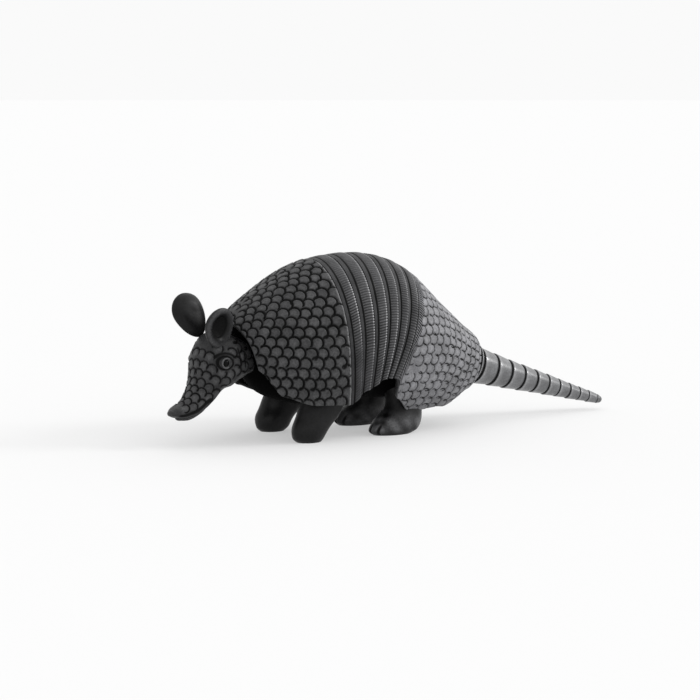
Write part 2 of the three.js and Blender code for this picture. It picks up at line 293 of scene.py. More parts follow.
def carveScales(grid, normals, centres, pointing, radius, tool, wrap=False, stretch=None):
    # Round each centre, at distance d and angle a from the way it points: the gouge is deepest just outside the
    # radius and ramps up over the tool's width, and fades where cos a falls; the scale rises towards its free end.
    # The tool has a width and depth in mm and a wobble in degrees, and stretch makes a scale longer than it is wide.
    rows, columns = grid.shape[:2]
    cutAndShade, rubAndSheen, lift = (np.zeros((rows, columns)) for _ in range(3))
    cells = np.stack(nearestCells(grid, centres), -1)
    hand = np.random.default_rng(tool["seed"])
    stretch = np.ones(len(centres)) if stretch is None else stretch
    for (r, c), middle, way, size, longer in zip(cells, centres, pointing, radius, stretch):
        normal = normals[r, c]
        turn = math.radians(hand.normal(0, tool["wobble"]))
        way = way - normal * (way @ normal)
        way = way / np.linalg.norm(way)
        across = np.cross(normal, way)
        cosine, sine = math.cos(turn), math.sin(turn)
        way, across = way * cosine + across * sine, across * cosine - way * sine
        size = size * hand.normal(1, 0.035)
        width = tool["width"] * hand.uniform(0.8, 1.15)
        depth = hand.uniform(0.75, 1.1)
        reach = (size + width + 0.3) * longer
        nextRow = r + 1 if r + 1 < rows else r - 1
        nextColumn = (c + 1) % columns if wrap or c + 1 < columns else c - 1
        tall = int(reach / np.linalg.norm(grid[r, c] - grid[nextRow, c])) + 2
        wide = int(reach / np.linalg.norm(grid[r, c] - grid[r, nextColumn])) + 2
        rowSet = np.arange(max(r - tall, 0), min(r + tall + 1, rows))
        columnSet = np.arange(c - wide, c + wide + 1)
        if wrap:
            columnSet = np.unique(columnSet % columns)
        else:
            columnSet = columnSet[(columnSet >= 0) & (columnSet < columns)]
        window = np.ix_(rowSet, columnSet)
        offset = grid[window] - middle
        ahead, aside = offset @ way / longer, offset @ across
        distance = np.sqrt(ahead ** 2 + aside ** 2 + (offset @ normal) ** 2)
        fan = ease((ahead / np.maximum(distance, 1e-6) + 0.45) / 0.6)
        out = (distance - size) / (width * (0.5 + 0.5 * fan))
        cut = ease(out / 0.22) * np.clip(1.25 - 1.25 * out, 0, 1) * fan * depth
        cutAndShade[window] = np.maximum(cutAndShade[window], cut)
        # the scale's top: rub and painted sheen, strongest at its middle
        wearAndSheen = np.exp(-((distance / (0.8 * size)) ** 2)) * hand.uniform(0.35, 1)
        rubAndSheen[window] = np.maximum(rubAndSheen[window], wearAndSheen)
        rise = (0.5 + 0.5 * ahead / size) * ease((size - distance) / 0.5 + 0.5)
        lift[window] = np.maximum(lift[window], rise)
    return cutAndShade, rubAndSheen, lift


def linear(code):
    # sRGB hex to linear: (c/255 + 0.055)/1.055 to the power 2.4, or c/255/12.92 when small
    parts = [int(code[k:k + 2], 16) / 255 for k in (1, 3, 5)]
    return [p / 12.92 if p <= 0.04045 else ((p + 0.055) / 1.055) ** 2.4 for p in parts] + [1]


def addNode(tree, kind, inputs=None, **settings):
    made = tree.nodes.new("ShaderNode" + kind)
    for key, value in settings.items():
        setattr(made, key, value)
    for key, value in (inputs or {}).items():
        if isinstance(value, bpy.types.NodeSocket):
            tree.links.new(value, made.inputs[key])
        else:
            made.inputs[key].default_value = value
    return made


def blackClay(name, body, pale, groove, rubSheenColour, rough, shine, grit, scratch=0.0):
    # Smoke-fired black earthenware: body colour mottled towards pale in clouds 9 mm wide and in grit of 1.1 mm,
    # which is coarser than the real grit so that it shows. It is matt and darker in the gouged lines, with soot and
    # painted shade, and smoother and lighter where the stone has rubbed the raised edges, with painted sheen. Scratch
    # adds fine marks along the piece.
    made = bpy.data.materials.new(name)
    made.use_nodes = True
    tree = made.node_tree
    shader = tree.nodes["Principled BSDF"]
    place = addNode(tree, "TexCoord").outputs["Object"]
    cloud = addNode(tree, "TexNoise", {
        "Vector": place, "Scale": 1 / (9 * mm), "Detail": 5, "Roughness": 0.6})
    speck = addNode(tree, "TexNoise", {
        "Vector": place, "Scale": 1 / (1.1 * mm), "Detail": 3, "Roughness": 0.7})
    mottle = addNode(tree, "Math", {
        0: cloud.outputs["Fac"], 1: speck.outputs["Fac"]}, operation="MULTIPLY")
    share = addNode(tree, "MapRange", {
        "Value": mottle.outputs[0], "From Min": 0.14, "From Max": 0.38, "To Min": 0, "To Max": 1})
    clay = addNode(tree, "Mix", {
        0: share.outputs[0], 6: linear(body), 7: linear(pale)}, data_type="RGBA")
    # the first layer darkens towards the groove colour: soot in the cuts, and painted shade in cuts, creases and
    # hollows
    cutShadeLayer = addNode(tree, "Attribute", attribute_name="cutAndShade")
    # the second layer lightens towards the rubbed colour: rubbed clay, and painted sheen and highlights
    rubSheenLayer = addNode(tree, "Attribute", attribute_name="rubAndSheen")
    rubSheenMask = addNode(tree, "Math", {
        0: rubSheenLayer.outputs["Fac"], 1: speck.outputs["Fac"]}, operation="MULTIPLY")
    lit = addNode(tree, "Mix", {
        0: rubSheenMask.outputs[0], 6: clay.outputs[2], 7: linear(rubSheenColour)}, data_type="RGBA")
    dark = addNode(tree, "Mix", {
        0: cutShadeLayer.outputs["Fac"], 6: lit.outputs[2], 7: linear(groove)}, data_type="RGBA")
    tree.links.new(dark.outputs[2], shader.inputs["Base Color"])
    gloss = addNode(tree, "MapRange", {
        "Value": cloud.outputs["Fac"], "From Min": 0.3, "From Max": 0.7,
        "To Min": rough + 0.07, "To Max": rough - 0.07})
    rubGloss = addNode(tree, "Math", {
        0: rubSheenMask.outputs[0], 1: -0.3, 2: gloss.outputs[0]}, operation="MULTIPLY_ADD")
    allGloss = addNode(tree, "Math", {
        0: cutShadeLayer.outputs["Fac"], 1: 0.35, 2: rubGloss.outputs[0]}, operation="MULTIPLY_ADD", use_clamp=True)
    tree.links.new(allGloss.outputs[0], shader.inputs["Roughness"])
    shader.inputs["IOR"].default_value = 1.5
    shader.inputs["Specular IOR Level"].default_value = shine
    relief = addNode(tree, "Bump", {
        "Height": speck.outputs["Fac"], "Strength": 0.5, "Distance": grit * mm})
    if scratch:
        stretch = addNode(tree, "Mapping", {"Vector": place, "Scale": (120, 900, 900)})
        lines = addNode(tree, "TexNoise", {"Vector": stretch.outputs[0], "Scale": 1, "Detail": 2})
        relief = addNode(tree, "Bump", {
            "Height": lines.outputs["Fac"], "Strength": 0.5, "Distance": scratch * mm, "Normal": relief.outputs[0]})
    tree.links.new(relief.outputs[0], shader.inputs["Normal"])
    return made


# name, then body, pale, groove (soot and painted shade) and rubbed (rubbed clay and painted sheen) colours,
# roughness, specular level, depth of grit and of scratches in mm
shellClay = blackClay(  # rubbed with a stone after carving: charcoal scales with a soft painted sheen, soot and painted shade in the cuts
    "burnished black clay", "#1f1f20", "#414142", "#010101", "#747475", 0.48, 0.22, 0.12)
litRumpClay = blackClay(  # the same clay painted far lighter grey: painted light where the lamps fall on the rump
    "burnished black clay, painted lighter", "#58585a", "#7e7e82", "#020202", "#bababc", 0.42, 0.32, 0.12)
bandClay = blackClay(  # dark strips, partly painted shade, with painted highlights as bright beads along the combed ridges
    "burnished black clay, combed", "#2a2a2c", "#3f3f41", "#020202", "#c8c8ca", 0.42, 0.3, 0.08)
tailClay = blackClay(  # polished round and round: pewter grey with a clear gloss and fine marks
    "burnished black clay, polished", "#464648", "#6a6b6d", "#0a0a0b", "#b8b8ba", 0.29, 0.9, 0.06, 0.12)
faceClay = blackClay(  # carved and only lightly rubbed: near black with dull grey scales
    "smoked black clay, carved", "#1d1d1e", "#363637", "#010101", "#7c7c7d", 0.48, 0.22, 0.1)
bodyClay = blackClay(  # pressed by hand and smoked: soot black, a little lighter on the edges, worn and with painted sheen
    "smoked black clay", "#080808", "#171718", "#010101", "#808082", 0.42, 0.2, 0.12)
shadedTrunkClay = blackClay(  # the same clay painted dead black and matt: painted shade on the trunk under the shell
    "smoked black clay, painted darker", "#040404", "#0a0a0a", "#010101", "#141414", 0.85, 0.04, 0.15)
pelletClay = blackClay(  # a bead rubbed all over: black with one small highlight
    "polished clay pellet", "#020202", "#040404", "#010101", "#3a3a3a", 0.25, 0.1, 0.03)
print("clay ready")


def shellGrid(start, stop, length, step, columns):
    # the shell's face from section start to stop, with the spine in its middle column
    u = spread(start, stop, length, step)
    side = np.linspace(-1, 1, columns)
    points = archGrid(u, side)
    return points, outward(points)


def edgeDistance(points):
    # how far each point is from the plate's nearest edge, along its row or its column
    down, across = arcLength(points, 0), arcLength(points, 1)
    return np.minimum(np.minimum(down, down[-1] - down), np.minimum(across, across[:, -1:] - across))


def rearDistance(points):
    # what is left of each column's length behind the point
    down = arcLength(points, 0)
    return down[-1] - down


def fromSpine(row):
    # running length of one row of points, counted both ways from its middle
    across = arcLength(row[None], 1)
    return across - across[:, len(row) // 2][:, None]


def rounded(distance, radius):
    # depth of a quarter-round edge: r - sqrt(r^2 - (r - d)^2)
    left = np.clip(radius - distance, 0, radius)
    return radius - np.sqrt(np.maximum(radius ** 2 - left ** 2, 0))


def shellWays(points, turn):
    # the way a scale points: along the row of sections, turned towards the spine by turn degrees
    rear = np.gradient(points, axis=0)
    spine = np.gradient(points, axis=1) * -np.sign(np.linspace(-1, 1, points.shape[1]))[None, :, None]
    rear, spine = (v / np.maximum(np.linalg.norm(v, axis=-1, keepdims=True), 1e-9) for v in (rear, spine))
    turn = np.radians(turn)[..., None]
    return rear * np.cos(turn) + spine * np.sin(turn)


def latticeGrid(start, stop):
    # one half of the shell, coarser, and run on past its front edge and hem so that scales may be cut off there
    u = np.arange(start, stop, 0.035)
    side = np.linspace(-1.14, 0, 200)
    return archGrid(u, side)


def mirrored(centres):
    # y to -y
    return centres * (1, -1, 1)


shoulder = {
    # pitch and radius of the scales, their size at the neck, the rows under and over the widest line and their
    # step as shares of the pitch, their turn towards the spine, and how far they rise and the clay waves
    "pitch": 6.5, "radius": 2.9, "neckSize": 0.84, "rows": (-9, 14), "rowStep": 0.87, "turn": 38,
    "rise": 0.22, "wave": 0.12, "wall": 2.8, "edge": 0.9,
    "tool": {"width": 1.65, "depth": 1.1, "seed": 3, "wobble": 9},
}


def makeShoulder():
    points, normals = shellGrid(0, shell["frontBand"] - shell["joint"] / 2, 84, 0.45, 451)
    middle = points.shape[1] // 2
    pitch = shoulder["pitch"]
    half = latticeGrid(-0.42, shell["frontBand"] - 0.01)
    # rows of scales run level with the widest line; each is measured along itself and staggered by half a pitch
    line = np.arange(len(half))
    rise = arcLength(half, 1)
    rise = rise - rise[line, np.argmax(np.abs(half[..., 1]), 1)][:, None]
    starts = []
    for row in np.arange(*shoulder["rows"]):
        height = row * shoulder["rowStep"] * pitch
        path = half[line, np.argmin(np.abs(rise - height), 1)]
        inside = (rise[:, 0] < height) & (height < rise[:, -1] - 0.55 * pitch)
        reach = arcLength(path[:, None], 0)[:, 0]
        for place in np.arange(reach[-1] - (0.5 + 0.5 * (row % 2)) * pitch, 0, -pitch):
            r = nearest(reach, place)
            if inside[r]:
                starts.append(path[r])
    spineWay = arcLength(points[:, middle:middle + 1], 0)[:, 0]
    spineRows = [nearest(spineWay, s) for s in np.arange(3, spineWay[-1] - 2, pitch)]
    spine = points[spineRows, middle]
    size = lambda at: pitch * (shoulder["neckSize"] + (1 - shoulder["neckSize"]) * ease((at[:, 0] + 74) / 30))
    starts = settle(np.array(starts), spine, half, size)
    centres = np.concatenate([starts, spine, mirrored(starts)])
    cells = nearestCells(points, centres)
    ways = shellWays(points, shoulder["turn"] * ease(np.abs(points[..., 1]) / 25))[cells]
    sizes = shoulder["radius"] * size(centres) / pitch
    cutAndShade, rubAndSheen, lift = carveScales(points, normals, centres, ways, sizes, shoulder["tool"])
    distance = edgeDistance(points)
    rim = np.exp(-((rearDistance(points) - 0.7) / 0.5) ** 2)
    cutAndShade = cutAndShade * ease((distance - 0.15) / 0.6)
    depth = shoulder["tool"]["depth"] * cutAndShade - shoulder["rise"] * lift + rounded(distance, shoulder["edge"]) + 0.15
    depth = depth - shoulder["wave"] * smoothNoise(points, 18, 5) - 0.1 * rim
    # darker in the cuts, soot and painted shade, and along the plate's edges, painted shade where it meets the next
    # plate
    tint = np.maximum(ease(2.4 * cutAndShade), 0.8 * ease(1 - distance / 0.6) * (rim < 0.3))
    # lighter on the rubbed scale tops, with painted sheen, and a painted highlight along the rear edge
    rubAndSheen = np.maximum(0.45 * rubAndSheen * (1 - tint), 1.6 * rim)
    platePiece("carved_shoulder_shield", points, normals, depth, shoulder["wall"], tint, rubAndSheen,
               "shoulder_shield", shellClay)
    print("shoulder shield carved,", len(centres), "scales")


band = {
    # the front strip's share of the width and how far it and the crease behind it lie below the ridge
    "strip": 0.26, "tuck": 0.95, "crease": 0.8,
    # the combed ribs, and how low their front ends start
    "ribPitch": 1.55, "ribDepth": 0.42, "ribDrop": 0.75, "wave": 0.08, "wall": 2.8,
}


def ribs(reach, pitch, seed):
    # rounded ridges with narrow cuts between: (0.5 + 0.5 cos)^0.55 of the running length, with an uneven pitch
    drift = 0.5 * np.sin(reach / 7.3 + seed) + 0.35 * np.sin(reach / 2.9 + 2 * seed)
    return (0.5 + 0.5 * np.cos(2 * np.pi * reach / pitch + drift)) ** 0.55


def makeBand(number):
    width = (shell["rearBand"] - shell["frontBand"]) / shell["bands"]
    start = shell["frontBand"] + number * width
    points, normals = shellGrid(start + shell["joint"] / 2, start + width - shell["joint"] / 2, 9, 0.27, 901)
    across = fromSpine(points[len(points) // 2])
    share = arcLength(points, 0)
    share = share / share[-1]
    ridge = ribs(across, band["ribPitch"], number)
    # from the front: a smooth strip set low, a dark crease, then the combed ridge that climbs to its beaded rear edge
    strip = band["strip"]
    crease = bell(share - strip - 0.03, 0.045)
    combed = ease((share - strip - 0.04) / 0.1)
    bead = ease((share - 0.84) / 0.08)
    wearAndSheen = 0.3 + 0.7 * ease((np.abs(across) - 12) / 40) * (0.75 + 0.25 * np.sin(across / 11 + number))
    low = band["tuck"] * (1 - ease((share - strip) / 0.08))
    low = low + band["ribDrop"] * combed * (1 - ease((share - strip) / 0.55))
    low = (low + band["crease"] * crease) * (0.3 + 0.7 * ease((np.abs(across) - 6) / 38))
    rearEdge = ease((share - 0.95) / 0.05)
    depth = low + band["ribDepth"] * (1 - ridge) * combed * wearAndSheen + 0.5 * rearEdge + 0.1
    depth = depth - band["wave"] * smoothNoise(points, 15, 10 + number)
    # darker in the combed cuts and the crease, and painted shade over the low front strip and down the rear edge
    cutAndShade = 0.85 * (1 - ridge) * combed * wearAndSheen * (1 - 0.35 * bead) + crease
    cutAndShade = cutAndShade + 0.35 * (1 - combed) + 0.45 * combed * (1 - ease((share - strip) / 0.4)) + 0.6 * rearEdge
    # painted highlights: bright beads on the ridges near the rear edge, brighter higher up the side and patchy
    rubAndSheen = bead * ridge * (0.25 + wearAndSheen) * (1 - rearEdge) + 0.2 * ridge * combed * wearAndSheen
    rubAndSheen = rubAndSheen * np.clip(0.6 + 0.5 * smoothNoise(points, 30, 15) + 0.3 * (points[..., 2] - 50) / 40, 0.15, 1.3)
    platePiece(f"combed_band_{number + 1}", points, normals, depth, band["wall"], np.clip(cutAndShade, 0, 1), rubAndSheen,
               f"band_{number + 1}", bandClay, thin=12)


rump = {
    # pitch and radius of the scales, their size near the tail and how much longer they get there; keep is the share
    # of a pitch under which a crowded scale is dropped
    "pitch": 6.3, "radius": 2.98, "tailSize": 0.82, "stretch": 0.35, "rowStep": 0.84, "turn": 14,
    "keep": 0.76, "rise": 0.16, "wave": 0.1, "wall": 2.6, "edge": 0.7, "columns": 621,
    # the front edge: where its row of scales sits, how far back its strokes reach and how deep they and it are
    "firstRow": 4.8, "tabRibs": 5, "strokeDepth": 0.55, "tuck": 0.7,
    # the plain ring round the tail, and the shade under the belly
    "collarLength": 4.8, "collarStep": 1.5, "lowShade": 0.2,
    "tool": {"width": 0.95, "depth": 0.75, "seed": 11, "wobble": 7},
}


def makeRump():
    # rows close together where the front edge is combed and wider apart behind it
    columns = rump["columns"]
    side = np.linspace(-1, 1, columns)
    u = np.linspace(shell["rearBand"] + shell["joint"] / 2, shell["end"], 800)
    way = arcLength(archPoints(u, 0 * u - 0.4)[:, None], 0)[:, 0]
    ends = np.array([0, 0.12, 0.3, 0.55])
    places = np.concatenate([
        ends, np.arange(0.85, 7.6, 0.36), np.arange(8, way[-1] - 0.8, 0.68), way[-1] - ends[::-1]])
    u = np.interp(places, way, u)
    points = archGrid(u, side)
    normals = outward(points)
    half = latticeGrid(shell["rearBand"] + shell["joint"] / 2, shell["end"])
    halfWay = arcLength(half, 0)
    frontWay = arcLength(points, 0)
    size = lambda at: rump["pitch"] * (1 - (1 - rump["tailSize"]) * ease((at[:, 0] - 22) / 50))
    longer = lambda at: 1 + rump["stretch"] * ease((at[:, 0] - 25) / 40)
    halfAcross = arcLength(half[:, ::-1], 1)[:, ::-1]
    tabRow, starts, spine = [], [], []
    sideWay = halfWay[:, int(0.6 * half.shape[1])]
    place, ring = rump["firstRow"], 0
    while place < sideWay[-1] - 1.5:
        r = nearest(sideWay, place)
        local = size(half[r, -1][None])[0]
        for step in np.arange((ring % 2) * local / 2, halfAcross[r, 0], local):
            c = nearest(halfAcross[r], step)
            goal = place * halfWay[-1, c] / sideWay[-1] if ring else place
            r2 = nearest(halfWay[:, c], goal)
            (tabRow if ring == 0 else spine if step == 0 else starts).append(half[r2, c])
        place, ring = place + rump["rowStep"] * local * longer(half[r, -1][None])[0], ring + 1
    tabRow = np.array(tabRow)
    fixed = np.concatenate([tabRow, spine])
    starts = thinned(settle(np.array(starts), fixed, half, size, 10), fixed, size, rump["keep"])
    starts = settle(starts, fixed, half, size, 14)
    offSpine = lambda at: at[np.abs(at[:, 1]) > 0.5]
    centres = np.concatenate([starts, fixed, mirrored(starts), mirrored(offSpine(tabRow))])
    first = len(starts)
    straight = np.zeros(len(centres), bool)
    straight[first:first + len(tabRow)] = True
    straight[len(centres) - len(offSpine(tabRow)):] = True
    cells = nearestCells(points, centres)
    turned = shellWays(points, rump["turn"] * ease(np.abs(points[..., 1]) / 15))[cells]
    rearward = shellWays(points, 0 * points[..., 1])[cells]
    ways = np.where(straight[:, None], rearward, turned)
    sizes = rump["radius"] * size(centres) / rump["pitch"]
    cutAndShade, rubAndSheen, lift = carveScales(points, normals, centres, ways, sizes, rump["tool"], stretch=longer(centres))
    # the front edge works as one more band: a low crease, then short strokes combed into each scale of the first row
    across = fromSpine(points[20])
    stroke = (np.cos(2 * np.pi * across / band["ribPitch"] + 0.6 * np.sin(across / 6.1)) * 0.5 + 0.5) ** 1.3
    combed = ease((frontWay - 0.9) / 0.5) * ease((rump["tabRibs"] - frontWay + 0.8 * np.sin(across / 1.9)) / 1.2)
    front = ease((frontWay - 3.4) / 1.4)
    cutAndShade, lift, rubAndSheen = cutAndShade * front, lift * front, rubAndSheen * front
    distance = edgeDistance(points)
    toEnd = rearDistance(points) - rump["collarLength"]
    smooth = ease((toEnd - 0.2) / 0.9)
    cutAndShade = cutAndShade * smooth * ease((distance - 0.1) / 0.5)
    low = rump["tuck"] * (1 - ease((frontWay - 0.3) / 3.2))
    depth = rump["tool"]["depth"] * cutAndShade - rump["rise"] * lift + low + rump["strokeDepth"] * stroke * combed
    depth = depth + rounded(distance, rump["edge"]) + rump["collarStep"] * (1 - ease((toEnd + 0.5) / 1.6))
    depth = depth + 0.12 - rump["wave"] * smoothNoise(points, 20, 21)
    # darker in the cuts, strokes and front crease, soot and painted shade, and painted shade along the plate's edges
    tint = ease(2.6 * cutAndShade) + ease(1.6 * stroke) * combed + 1 - ease((frontWay - 0.2) / 1.3)
    tint = np.maximum(np.clip(tint, 0, 1), 0.7 * ease(1 - distance / 0.5))
    tint = np.maximum(tint, rump["lowShade"] * ease((38 - points[..., 2]) / 24))
    # lighter on the rubbed scale tops, with painted sheen, and painted highlights on the combed ridges
    rubAndSheen = 0.5 * rubAndSheen * (1 - tint) + 0.3 * combed * (1 - stroke)
    platePiece("carved_rump_shield", points, normals, depth, rump["wall"], tint, rubAndSheen, "rump_shield", litRumpClay)
    print("rump shield carved,", len(centres), "scales")


makeShoulder()
for number in range(shell["bands"]):
    makeBand(number)
print("bands combed")
makeRump()


head = {
    # from the nape to the nose, x measured forwards from the neck: x, z, lean, half width, height, depth
    "sections": [
        (-5.5, 47, 20, 14.5, 11, 9.5), (2, 47, 18, 16.3, 13.4, 11), (9, 45.5, 22, 16.5, 16.4, 12.5),
        (15, 41, 36, 14.8, 13.4, 12), (19.5, 35, 52, 11.5, 7.6, 8.8), (24, 28.4, 50, 8.8, 6, 7.8),
        (29, 22.9, 35, 7.4, 5.2, 5.4), (34.5, 20.5, 18, 6.8, 4.1, 4), (39, 19.6, 8, 6, 2.9, 3),
        (41.5, 19.4, 4, 3.8, 1.7, 1.7),
    ],
    "jaw": [
        (14, 29.6, 50, 4.8, 1.2, 1.4), (20.5, 23.4, 45, 5.3, 1.5, 1.8), (26.5, 18.8, 25, 5, 1.5, 1.8),
        (32.5, 16.6, 10, 4.4, 1.4, 1.7), (37, 16.3, 0, 3, 0.9, 1.1),
    ],
    "neck": -73.5, "turn": 14, "columns": 280, "step": 0.34, "jowl": 0.62,
    # scales, and what stays free of them: the nose from here, the lips, and the forehead within this half width
    "pitch": 5.7, "snoutSize": 0.86, "rowStep": 0.86, "radius": 2.7, "rise": 0.2, "smoothNose": 37.5,
    "lip": 0.64, "lipRise": 0.12, "brow": 8.5, "browFrom": 4, "browTo": 22, "browOver": 46, "wave": 0.2,
    # the strokes behind the eye: x at their middle height, lean, half width, lowest and highest z
    "strokeMiddle": 47, "strokes": [(7.4, 0.12, 0.42, 43, 54), (4.2, 0.1, 0.4, 41.5, 51)], "strokeDepth": 0.5,
    # the hollow at the nape: share of the outline and how far forwards
    "cup": [(0.6, 8), (0.8, 4), (0.93, 0.5)],
    "tool": {"width": 1.3, "depth": 0.75, "seed": 21, "wobble": 10},
}
# along x from and to, then the cut's middle below the edge of the scales, its width and depth, and the painted
# highlight along the lip
mouth = {"from": 18, "to": 41, "below": 0.5, "width": 0.8, "depth": 0.6, "lipLight": 1.3}
eye = {
    "x": 15.9, "z": 45.6, "long": 1.1, "pellet": 1.95, "flat": 0.8, "sunk": 0.6, "lid": 2.55, "lidThick": 0.55,
    # the cut round the lid and the brow's arc: distance from the eye's middle and depth
    "groove": 3.6, "grooveDepth": 0.8, "browArc": 5.2, "browDepth": 0.5,
    # no scales nearer than these to the eye and the ear; how deep each lid is pressed into the face
    "room": 5.9, "earRoom": 3.8, "smooth": 4.2, "left": 0.1, "right": 1.3,
}
ear = {
    "x": 16.5, "y": 10, "z": 56.3, "long": 11.2, "wide": 9.8, "splay": 15, "narrow": 0.1, "wave": 0.14,
    # each ear: raised by, turned forwards, its stem drawn out below, and set back by
    "left": (-1.6, 21, 1.2, 1.2), "right": (4.4, 22, 3, 1.3),
    # share of the outline towards the nose, the same towards the nape, and height over the rim's plane:
    # up the back from its middle, over the rolled rim and down into the hollow
    "profile": [
        (0.03, 0.03, -4.5), (0.3, 0.3, -4.35), (0.58, 0.58, -3.7), (0.84, 0.84, -2.2), (0.97, 0.97, -0.6),
        (1.0, 1.0, 0.25), (0.94, 0.95, 1.05), (0.8, 0.85, 1.5), (0.64, 0.73, 1.3), (0.5, 0.62, 0.2),
        (0.45, 0.54, -1.4), (0.32, 0.4, -2.4), (0.18, 0.24, -3.0), (0.02, 0.03, -3.1),
    ],
}


def placeHead(points):
    # turned round the upright through the neck: x = n + x cos t - y sin t, y = x sin t + y cos t
    turn = math.pi + math.radians(head["turn"])
    cosine, sine = math.cos(turn), math.sin(turn)
    x, y, z = np.moveaxis(points, -1, 0)
    return np.stack([head["neck"] + x * cosine - y * sine, x * sine + y * cosine, z], -1)


def evenSections(rows, step):
    # sections step apart along the curve through the rows' widest points
    u = np.linspace(0, len(rows) - 1, 600)
    curve = along(rows, u)[:, :2]
    way = np.concatenate([[0], np.cumsum(np.linalg.norm(np.diff(curve, axis=0), axis=1))])
    return np.interp(np.linspace(0, way[-1], int(way[-1] / step) + 1), way, u)


def tube(rows, step, columns, power=1):
    # a skin along the rows of sections, about step mm from one ring to the next
    u = evenSections(rows, step)
    angle = turns(columns)
    grid = ringPoints(rows, u[:, None] + 0 * angle, angle + 0 * u[:, None], power)
    if power == 1:
        return grid
    # the power crowds the columns, so they are spaced evenly round again
    closed = np.concatenate([grid, grid[:, :1]], 1)
    way = arcLength(closed, 1)
    goal = np.arange(columns) / columns * way[:, -1:]
    place = np.stack([np.interp(g, w, np.arange(columns + 1)) for g, w in zip(goal, way)])
    low = np.minimum(place.astype(int), columns - 1)
    share = (place - low)[..., None]
    line = np.arange(len(grid))[:, None]
    return closed[line, low] * (1 - share) + closed[line, low + 1] * share


def lipShare(x):
    # how far round the half section the scales reach: less on the snout, where the mouth is cut
    return head["lip"] - head["lipRise"] * ease((x - mouth["from"]) / 6)


def headCentres(grid, size):
    # rows of scales across the snout and cheeks of one side, each row half a scale along from the one before
    half = grid[:, :head["columns"] // 2 + 1]
    lengthwise = arcLength(half, 0)[:, head["columns"] // 5]
    around = arcLength(half, 1)
    centres, place, row = [], 1.5, 0
    while place < lengthwise[-1]:
        r = nearest(lengthwise, place)
        local = size(half[r, 0][None])[0]
        reach = lipShare(half[r, head["columns"] // 4, 0]) * around[r, -1]
        for across in np.arange((row % 2) * local / 2, reach, local):
            centres.append(half[r, nearest(around[r], across)])
        place, row = place + head["rowStep"] * local, row + 1
    centres = np.array(centres)
    x, y, z = centres.T
    toEye = np.hypot(x - eye["x"], z - eye["z"])
    toEar = np.linalg.norm(centres - (ear["x"] - 1, ear["y"], ear["z"] + 1), axis=1)
    forehead = (x > head["browFrom"]) & (x < head["browTo"]) & (y < head["brow"]) & (z > head["browOver"])
    return centres[(toEye > eye["room"]) & (toEar > eye["earRoom"]) & ~forehead & (x < head["smoothNose"])]


